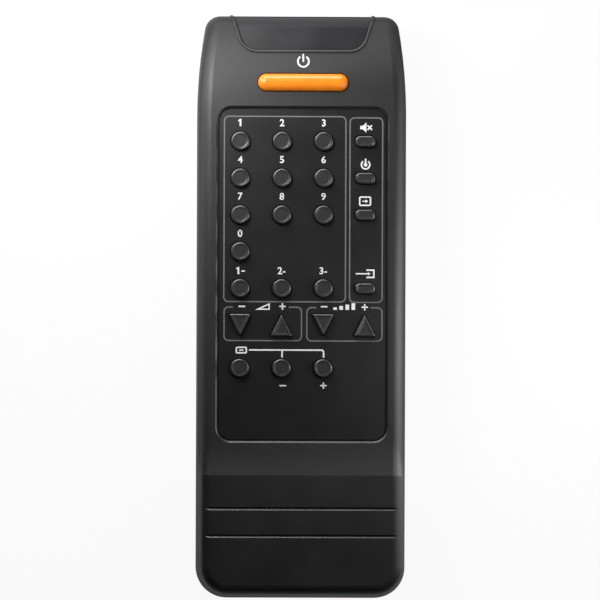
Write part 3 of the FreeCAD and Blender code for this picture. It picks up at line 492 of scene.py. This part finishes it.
cellLook = {
    "jacket": (0.012, 0.014, 0.018), "band": (0.50, 0.23, 0.045), "steel": (0.62, 0.62, 0.60),
    "endLength": 1.2 * mm, "nubLength": 1.3 * mm, "bandLength": 12 * mm,
    "bandMetallic": 0.6,
    "scuffs": (0.6 * mm, 0.62, 0.72, 3, 0.6, (1, 0.2, 1)), "scuffShare": 0.3,
    "roughness": 0.26, "flow": (3 * mm, 3), "flowRoughness": 0.12,
    "ripple": 0.9 * mm, "rippleDepth": 0.006 * mm,
}


def cellFinish(name, nubSide):
    # nubSide is 1 where the plus end points to the nose
    look = cellLook
    low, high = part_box(name)
    nubEnd = high.y if nubSide > 0 else low.y
    flatEnd = low.y if nubSide > 0 else high.y
    finish = Finish(name + "_jacket", look["jacket"], look["roughness"])
    fromNub = abs(finish.along("Y") - nubEnd)
    fromFlat = abs(finish.along("Y") - flatEnd)
    bareNub = fromNub < look["endLength"] + look["nubLength"]
    ends = finish.between(bareNub + (fromFlat < look["endLength"]), 0.0, 1.0)
    band = fromNub < look["bandLength"]
    scuffs = finish.patches(*look["scuffs"])
    jacket = finish.blend(band, look["jacket"], look["band"])
    scuffed = finish.blend(scuffs * look["scuffShare"], jacket, look["steel"])
    finish.set("Base Color", finish.blend(ends, scuffed, look["steel"]))
    finish.set("Metallic", finish.between(ends + band * look["bandMetallic"], 0.0, 1.0))
    finish.set("Roughness", look["roughness"] + finish.noise(*look["flow"]) * look["flowRoughness"])
    finish.bump(finish.noise(look["ripple"]), look["rippleDepth"])
    return finish


keyNames = sorted(name for name in nodes if name.startswith("key_"))
paint(["top_shell", "bottom_shell", "battery_cover"], caseFinish())
paint(["face_plate"], plateFinish())
paint([name for name in keyNames if name != "key_power"], rubberFinish("key_rubber", keyLook))
paint(["key_power"], rubberFinish("power_key_rubber", powerLook))
paint(["ir_window"], windowFinish())
paint(["keypad_sheet"], moulded("sheet_rubber", sheetLook))
paint(["circuit_board"], boardFinish())
paint(["contact_pads"], moulded("pad_carbon", carbonLook))
paint(["ir_led_left", "ir_led_right"], moulded("led_resin", ledLook))
paint(["encoder_chip", "driver_transistor"], moulded("chip_epoxy", chipLook))
paint(["resonator"], moulded("resonator_dip", resonatorLook))
paint(["reservoir_capacitor"], capacitorFinish())
paint(["resistors"], resistorFinish())
paint(["led_leads", "chip_pins", "component_leads"], metalFinish("tinned_wire"))
paint(["positive_contact", "negative_contact", "bridge_contact", "negative_spring", "bridge_spring"],
      metalFinish("nickel"))
paint(["case_screws", "board_screws"], metalFinish("zinc"))
paint(["battery_cell_left"], cellFinish("battery_cell_left", 1))
paint(["battery_cell_right"], cellFinish("battery_cell_right", -1))
print("all", len(nodes), "nodes painted")


# Printed legends: thin closed forms of ink that lie on the plate and on the head

inkLook = {
    "proud": 0.025 * mm,        # how far the ink stands out of the surface
    "sunk": 0.010 * mm,         # how far it reaches into it
    "white": (0.80, 0.80, 0.79), "whiteWorn": (0.62, 0.62, 0.61),
    "grey": (0.150, 0.155, 0.150), "greyWorn": (0.105, 0.110, 0.107),
    "thin": (0.35 * mm, 0.42, 0.70, 3, 0.6), "thinRoughness": 0.1,
    "wear": (5 * mm, 0.4, 0.7, 2),
    "roughness": 0.55,
    "grain": 0.12 * mm,
    "grainDepth": 0.003 * mm,
    "dropHeight": 0.1,          # well above the object, from where a surface is looked for
}


def inkFinish(name, fresh, worn):
    look = inkLook
    finish = Finish(name, fresh, look["roughness"])
    thin = finish.patches(*look["thin"])
    finish.set("Base Color", finish.blend(thin * finish.patches(*look["wear"]), fresh, worn))
    finish.set("Roughness", look["roughness"] + thin * look["thinRoughness"])
    finish.bump(finish.noise(look["grain"]), look["grainDepth"])
    return finish


whiteInk = inkFinish("white_ink", inkLook["white"], inkLook["whiteWorn"])
greyInk = inkFinish("grey_ink", inkLook["grey"], inkLook["greyWorn"])
surfaceTrees = {}


def surfaceHeight(carrier, x, y):
    # height of the top of a node at a place, in metres
    if carrier not in surfaceTrees:
        mesh = nodes[carrier].data
        surfaceTrees[carrier] = BVHTree.FromPolygons([vertex.co for vertex in mesh.vertices],
                                                     [face.vertices for face in mesh.polygons])
    start = Vector((x, y, inkLook["dropHeight"]))
    hit = surfaceTrees[carrier].ray_cast(start, Vector((0, 0, -1)))
    return hit[0].z


def asMesh(name, curve):
    # a filled curve in millimetres becomes a mesh in metres; printInk sets its real thickness
    curve.extrude = 0.5
    holder = bpy.data.objects.new(name, curve)
    scene.collection.objects.link(holder)
    bpy.context.view_layer.update()
    mesh = bpy.data.meshes.new_from_object(holder.evaluated_get(bpy.context.evaluated_depsgraph_get()))
    bpy.data.objects.remove(holder)
    for vertex in mesh.vertices:
        vertex.co *= mm
    return mesh


def printInk(name, mesh, x, y, carrier, finish):
    # lays a flat mesh on a node, moved to x and y in millimetres
    look = inkLook
    for vertex in mesh.vertices:
        vertex.co.x += x * mm
        vertex.co.y += y * mm
        level = surfaceHeight(carrier, vertex.co.x, vertex.co.y)
        vertex.co.z = level + (look["proud"] if vertex.co.z > 0 else -look["sunk"])
    mesh.name = name
    mesh.materials.clear()
    mesh.materials.append(finish.material)
    piece = bpy.data.objects.new(name, mesh)
    scene.collection.objects.link(piece)
    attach(piece, "body")
    "plate" if carrier == "face_plate" else "case"


def shapeMesh(name, loops):
    # closed loops of points, a loop inside another one being a hole
    curve = bpy.data.curves.new(name, "CURVE")
    curve.dimensions = "2D"
    curve.fill_mode = "BOTH"
    for loop in loops:
        spline = curve.splines.new("POLY")
        spline.points.add(len(loop) - 1)
        for point, (x, y) in zip(spline.points, loop):
            point.co = (x, y, 0, 1)
        spline.use_cyclic_u = True
    return asMesh(name, curve)


def keyMiddle(name):
    low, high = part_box(name)
    return (low.x + high.x) / 2 / mm, (low.y + high.y) / 2 / mm


# Outlines, in millimetres round their own middle

def arcPoints(x, y, radius, start, end, steps):
    turns = [start + (end - start) * step / steps for step in range(steps + 1)]
    return [(x + radius * math.cos(turn), y + radius * math.sin(turn)) for turn in turns]


def ringPoints(radius, gap, steps):
    # an arc round the middle, open at its top, gap being half the angle left open
    return arcPoints(0, 0, radius, math.pi / 2 + gap, math.pi * 2.5 - gap, steps)


def roundedPath(corners, radius, closed, steps=6):
    # the corners of a path, each turned with an arc
    path = []
    count = len(corners)
    for index, corner in enumerate(corners):
        here = Vector(corner)
        if not closed and index in (0, count - 1):
            path.append(tuple(here))
            continue
        before = (Vector(corners[index - 1]) - here).normalized()
        after = (Vector(corners[(index + 1) % count]) - here).normalized()
        reach = radius / math.tan(before.angle(after) / 2)
        middle = here + (before + after).normalized() * (radius ** 2 + reach ** 2) ** 0.5
        start, end = here + before * reach - middle, here + after * reach - middle
        first = math.atan2(start.y, start.x)
        sweep = math.atan2(start.x * end.y - start.y * end.x, start.dot(end))
        path += arcPoints(middle.x, middle.y, radius, first, first + sweep, steps)
    return path


def ribbon(path, width, closed, sharpest=0.5):
    # the two sides of a line of even width; sharpest keeps a tight corner from running out
    sides = ([], [])
    count = len(path)
    for index, point in enumerate(path):
        before = Vector(path[index - 1] if closed or index else path[0])
        after = Vector(path[(index + 1) % count] if closed or index < count - 1 else path[-1])
        here = Vector(point)
        inward = (here - before).normalized() if (here - before).length > 0 else (after - here).normalized()
        onward = (after - here).normalized() if (after - here).length > 0 else inward
        lean = (inward + onward).normalized()
        reach = width / 2 / max(lean.dot(onward), sharpest)
        across = Vector((-lean.y, lean.x)) * reach
        sides[0].append(tuple(here + across))
        sides[1].append(tuple(here - across))
    return [sides[0], sides[1]] if closed else [sides[0] + sides[1][::-1]]


def roundedBox(width, height, corner, stroke):
    half, rise = width / 2 - stroke / 2, height / 2 - stroke / 2
    corners = [(-half, -rise), (half, -rise), (half, rise), (-half, rise)]
    return ribbon(roundedPath(corners, corner, True), stroke, True)


def plusLoop(size, stroke, turn=0.0):
    half, thin = size / 2, stroke / 2
    points = [(thin, thin), (half, thin), (half, -thin), (thin, -thin), (thin, -half), (-thin, -half),
              (-thin, -thin), (-half, -thin), (-half, thin), (-thin, thin), (-thin, half), (thin, half)]
    return [(x * math.cos(turn) - y * math.sin(turn), x * math.sin(turn) + y * math.cos(turn))
            for x, y in points]


def barLoop(width, height, x=0.0, y=0.0):
    return [(x - width / 2, y - height / 2), (x + width / 2, y - height / 2),
            (x + width / 2, y + height / 2), (x - width / 2, y + height / 2)]


def openRing(radius, stroke, gap, steps=40):
    return ringPoints(radius, gap, steps) + ringPoints(radius - stroke, gap, steps)[::-1]


def arrowLoop(start, tip, shaft, head, slimness=0.75):
    # an arrow to the right along the middle line; slimness is the head's length for its width
    neck = tip - head * slimness
    return [(start, -shaft / 2), (neck, -shaft / 2), (neck, -head / 2), (tip, 0.0), (neck, head / 2),
            (neck, shaft / 2), (start, shaft / 2)]


def moved(loop, x, y):
    return [(px + x, py + y) for px, py in loop]


# Digits over the keys, in bold sans; the 1 is drawn from listed points

digitLook = {
    "height": 2.05,
    "fontSize": 2.0, "bold": 0.035, "spacing": 1.04, "curveSteps": 4,
    "one": [(0.26, -1.03), (0.26, 1.03), (-0.10, 1.03), (-0.62, 0.66), (-0.62, 0.28), (-0.22, 0.52),
            (-0.22, -1.03)],
    "oneAside": -0.45,                  # where a dash follows it
    "dash": (0.95, 0.40, 0.95, -0.15),  # width, height and place
    "legends": {
        # key: text, distance above the middle of the key
        "key_1": ("1", 5.3), "key_2": ("2", 5.3), "key_3": ("3", 5.3),
        "key_4": ("4", 5.3), "key_5": ("5", 5.3), "key_6": ("6", 5.3),
        "key_7": ("7", 5.3), "key_8": ("8", 5.3), "key_9": ("9", 5.3), "key_0": ("0", 5.2),
        "key_one_dash": ("1-", 5.1), "key_two_dash": ("2-", 5.1), "key_three_dash": ("3-", 5.1),
    },
}


def digitMesh(name, text):
    look = digitLook
    if text == "1":
        return shapeMesh(name, [look["one"]])
    if text == "1-":
        return shapeMesh(name, [moved(look["one"], look["oneAside"], 0), barLoop(*look["dash"])])
    curve = bpy.data.curves.new(name, "FONT")
    curve.body = text
    curve.size = look["fontSize"]
    curve.offset = look["bold"]
    curve.resolution_u = look["curveSteps"]
    curve.space_character = look["spacing"]
    mesh = asMesh(name, curve)
    lows = [min(vertex.co[axis] for vertex in mesh.vertices) for axis in (0, 1)]
    highs = [max(vertex.co[axis] for vertex in mesh.vertices) for axis in (0, 1)]
    grow = look["height"] * mm / (highs[1] - lows[1])
    for vertex in mesh.vertices:
        vertex.co.x = (vertex.co.x - (lows[0] + highs[0]) / 2) * grow
        vertex.co.y = (vertex.co.y - (lows[1] + highs[1]) / 2) * grow
    return mesh


# Plain signs over and under the keys

signLook = {
    "stroke": 0.42,
    "plusSize": 1.85,
    "minusWidth": 1.95,
    "wedge": (4.3, 1.95), "wedgeThinning": 0.85,
    "speaker": [(-1.65, -0.5), (-0.95, -0.5), (0.10, -1.45), (0.10, 1.45), (-0.95, 0.5), (-1.65, 0.5)],
    "crossSize": 1.8, "crossAside": 1.05,
    "timerRadius": 1.42, "timerGap": math.radians(36),
    "blobRadius": 0.52, "blobGap": math.radians(24), "blobSteps": 24, "handTop": 1.75,
    "screen": (3.5, 2.8), "screenCorner": 0.35,
    "screenArrow": (-0.75, 0.9, 0.30, 1.05),      # start, tip, shaft, head
    "stepWidth": 1.05, "stepPitch": 1.75, "stepHeights": (0.7, 1.1, 1.5, 1.9),
    "monitor": (3.3, 2.0), "monitorCorner": 0.3, "monitorLine": (1.2, 0.36),
    "entry": (5.4, 2.5), "entryMouth": 0.35, "entryArrow": (0.36, 0.95), "entryReach": 1.15,
    "legends": {
        # name: key, sign, place from the middle of the key
        "sign_volume_down": ("key_volume_down", "minus", (0.6, 5.2)),
        "sign_volume_up": ("key_volume_up", "plus", (0.3, 5.6)),
        "sign_channel_down": ("key_channel_down", "minus", (0.3, 5.2)),
        "sign_channel_up": ("key_channel_up", "plus", (0.0, 5.45)),
        "sign_channel": ("key_channel_down", "steps", (6.1, 5.25)),
        "sign_display": ("key_display", "monitor", (0.5, 5.2)),
        "sign_display_down": ("key_display_down", "minus", (0.5, -5.0)),
        "sign_display_up": ("key_display_up", "plus", (0.2, -4.95)),
        "sign_input": ("key_input", "entry", (0.1, 4.3)),
        "sign_wedge": ("key_volume_down", "wedge", (6.5, 5.2)),
        "sign_mute": ("key_mute", "speaker", (0.2, 4.0)),
        "sign_timer": ("key_timer", "timer", (0.1, 3.9)),
        "sign_recall": ("key_recall", "screen", (0.0, 4.0)),
    },
}


def signLoops(sign):
    look = signLook
    stroke = look["stroke"]
    if sign == "minus":
        return [barLoop(look["minusWidth"], stroke)]
    if sign == "plus":
        return [plusLoop(look["plusSize"], stroke)]
    if sign == "wedge":
        # a slim triangle in outline that rises to the right
        width, height = look["wedge"]
        outer = [(-width / 2, -height / 2), (width / 2, -height / 2), (width / 2, height / 2)]
        slope = height / width
        thin = stroke * look["wedgeThinning"]
        innerX = -width / 2 + thin * (1 + math.sqrt(1 + slope ** 2)) / slope
        inner = [(innerX, -height / 2 + thin), (width / 2 - thin, -height / 2 + thin),
                 (width / 2 - thin, -height / 2 + thin + (width / 2 - thin - innerX) * slope)]
        return [outer, inner]
    if sign == "speaker":
        # a loudspeaker with a small cross beside it
        cross = plusLoop(look["crossSize"], stroke, math.pi / 4)
        return [look["speaker"], moved(cross, look["crossAside"], 0)]
    if sign == "timer":
        # an open ring with a hand that ends in a round blob
        blob = ringPoints(look["blobRadius"], look["blobGap"], look["blobSteps"])
        hand = [(stroke / 2, look["handTop"]), (-stroke / 2, look["handTop"])]
        return [openRing(look["timerRadius"], stroke, look["timerGap"]), hand + blob]
    if sign == "screen":
        # a rounded box with an arrow in it
        return roundedBox(*look["screen"], look["screenCorner"], stroke) + [arrowLoop(*look["screenArrow"])]
    if sign == "steps":
        # four bars, each taller than the last
        heights, pitch = look["stepHeights"], look["stepPitch"]
        foot = -max(heights) / 2
        return [barLoop(look["stepWidth"], high, (index - (len(heights) - 1) / 2) * pitch, foot + high / 2)
                for index, high in enumerate(heights)]
    if sign == "monitor":
        # a rounded box with a short line in it
        return roundedBox(*look["monitor"], look["monitorCorner"], stroke) + [barLoop(*look["monitorLine"])]
    if sign == "entry":
        # an arrow that enters an open box
        width, height = look["entry"]
        half, rise, mouth = width / 2, height / 2 - stroke / 2, look["entryMouth"]
        corners = [(mouth, rise), (half - stroke / 2, rise), (half - stroke / 2, -rise), (mouth, -rise)]
        arrow = arrowLoop(-half, half - look["entryReach"], *look["entryArrow"])
        return ribbon(corners, stroke, False) + [arrow]


def makeLegends():
    for key, (text, above) in digitLook["legends"].items():
        x, y = keyMiddle(key)
        name = "digit_" + key.removeprefix("key_")
        printInk(name, digitMesh(key, text), x, y + above, "face_plate", whiteInk)
    for name, (key, sign, (aside, above)) in signLook["legends"].items():
        x, y = keyMiddle(key)
        printInk(name, shapeMesh(name, signLoops(sign)), x + aside, y + above, "face_plate", whiteInk)


# The power sign, alone on the head

powerSignLook = {
    "radius": 1.80, "stroke": 0.44, "gap": math.radians(34),
    "bar": (1.25, 0.55),                # length and place of the bar, in radii
    "place": (0.05, 70.8),
}


def makePowerSign():
    look = powerSignLook
    radius, stroke = look["radius"], look["stroke"]
    length, rise = look["bar"]
    bar = barLoop(stroke, radius * length, 0, radius * rise)
    mesh = shapeMesh("sign_power", [openRing(radius, stroke, look["gap"]), bar])
    printInk("sign_power", mesh, *look["place"], "top_shell", whiteInk)


# The bracket that joins the monitor sign to its two keys

bracketLook = {
    "stroke": 0.42, "corner": 0.6,
    "above": 5.25, "foot": 3.1, "start": 2.7,     # from the middle of the display key
    "legAside": 0.25, "endAside": 0.2,            # from the middle of each of the two keys
}


def makeBracket():
    look = bracketLook
    signX, signY = keyMiddle("key_display")
    legX = keyMiddle("key_display_down")[0] + look["legAside"]
    endX = keyMiddle("key_display_up")[0] + look["endAside"]
    top, foot = signY + look["above"], signY + look["foot"]
    half = look["stroke"] / 2
    corners = [(signX + look["start"], top), (endX, top), (endX, foot)]
    line = ribbon(roundedPath(corners, look["corner"], False), look["stroke"], False)
    leg = [(legX - half, foot), (legX + half, foot), (legX + half, top - half), (legX - half, top - half)]
    printInk("bracket_line", shapeMesh("bracket_line", line), 0, 0, "face_plate", whiteInk)
    printInk("bracket_leg", shapeMesh("bracket_leg", [leg]), 0, 0, "face_plate", whiteInk)


# Grey frames round the groups of keys

frameLook = {
    "stroke": 0.36, "corner": 1.3,
    # left, right, bottom, top
    "digits": (-22.6, 12.4, 1.55, 54.9),
    "functions": (13.6, 23.0, 1.45, 54.6),
    # and where the top line stops for the legends and goes on
    "volume": (-22.5, -0.2, -9.65, 0.0, -20.0, -3.9),
    "channel": (1.35, 23.0, -9.7, -0.1, 4.1, 19.7),
}


def makeFrames():
    look = frameLook
    for name in ("digits", "functions", "volume", "channel"):
        left, right, low, high, *stops = look[name]
        corners = [(left, low), (right, low), (right, high), (left, high)]
        if stops:
            stop, again = stops
            corners = [(stop, high), (left, high), (left, low), (right, low), (right, high), (again, high)]
        path = roundedPath(corners, look["corner"], not stops)
        mesh = shapeMesh("frame_" + name, ribbon(path, look["stroke"], not stops))
        printInk("frame_" + name, mesh, 0, 0, "face_plate", greyInk)


makeLegends()
makePowerSign()
makeBracket()
makeFrames()
print("legends and frames printed")


# Stage and lamps

stageLook = {
    "floor": (0.86, 0.86, 0.86),
    "floorRoughness": 0.9,
    "floorSize": 6.0,
    "seenWhite": 0.92,          # share of plain white in what the camera sees of the floor
    "worldStrength": 0.02,
}

lampLook = {
    # place, what it points at, width, length, power in watts
    "upperLeft": ((-0.062, 0.103, 0.125), (0, 0.05, 0.02), 0.06, 0.06, 0.175),
    "leftSide": ((-0.13, 0.12, 0.05), (0, 0.05, 0.02), 0.09, 0.12, 0.17),
    "noseSide": ((-0.02, 0.24, 0.09), (0, 0.06, 0.02), 0.16, 0.10, 0.45),
    "rightSide": ((0.10, -0.01, 0.065), (0, -0.01, 0.02), 0.04, 0.20, 0.082),
    "rightEdge": ((0.16, 0.00, 0.04), (0, 0, 0.02), 0.05, 0.34, 0.06),
    "farRight": ((0.30, 0.00, 0.06), (0, 0, 0.01), 0.08, 0.40, 0.35),
}


def makeFloor():
    look = stageLook
    mesh = bpy.data.meshes.new("floor")
    half = look["floorSize"] / 2
    corners = [(-half, -half, 0), (half, -half, 0), (half, half, 0), (-half, half, 0)]
    mesh.from_pydata(corners, [], [(0, 1, 2, 3)])
    floor = bpy.data.objects.new("floor", mesh)
    scene.collection.objects.link(floor)
    finish = Finish("floor_paper", look["floor"], look["floorRoughness"])
    straight = finish.node("ShaderNodeLightPath", {}, {}, "Is Camera Ray")
    mirrored = finish.node("ShaderNodeLightPath", {}, {}, "Is Glossy Ray")
    through = finish.node("ShaderNodeLightPath", {}, {}, "Is Transmission Ray")
    plain = finish.node("ShaderNodeEmission", {}, {"Color": (1, 1, 1, 1), "Strength": 1.0})
    surface = Wire(finish, finish.surface.outputs[0])
    seen = finish.between(straight + mirrored + through, 0.0, 1.0) * look["seenWhite"]
    both = finish.node("ShaderNodeMixShader", {}, {0: seen, 1: surface, 2: plain})
    finish.plug(finish.tree.nodes["Material Output"].inputs["Surface"], both)
    mesh.materials.append(finish.material)


def makeLamps():
    for name, (place, target, width, length, power) in lampLook.items():
        lamp = bpy.data.lights.new(name, "AREA")
        lamp.shape = "RECTANGLE"
        lamp.size = width
        lamp.size_y = length
        lamp.energy = power
        holder = bpy.data.objects.new(name, lamp)
        holder.location = place
        holder.rotation_euler = (Vector(target) - Vector(place)).to_track_quat("-Z", "Y").to_euler()
        holder.visible_camera = False
        scene.collection.objects.link(holder)
    world = bpy.data.worlds.new("studio")
    world.use_nodes = True
    background = world.node_tree.nodes["Background"]
    background.inputs["Color"].default_value = (1, 1, 1, 1)
    background.inputs["Strength"].default_value = stageLook["worldStrength"]
    scene.world = world


makeFloor()
makeLamps()
print("stage and lamps made")
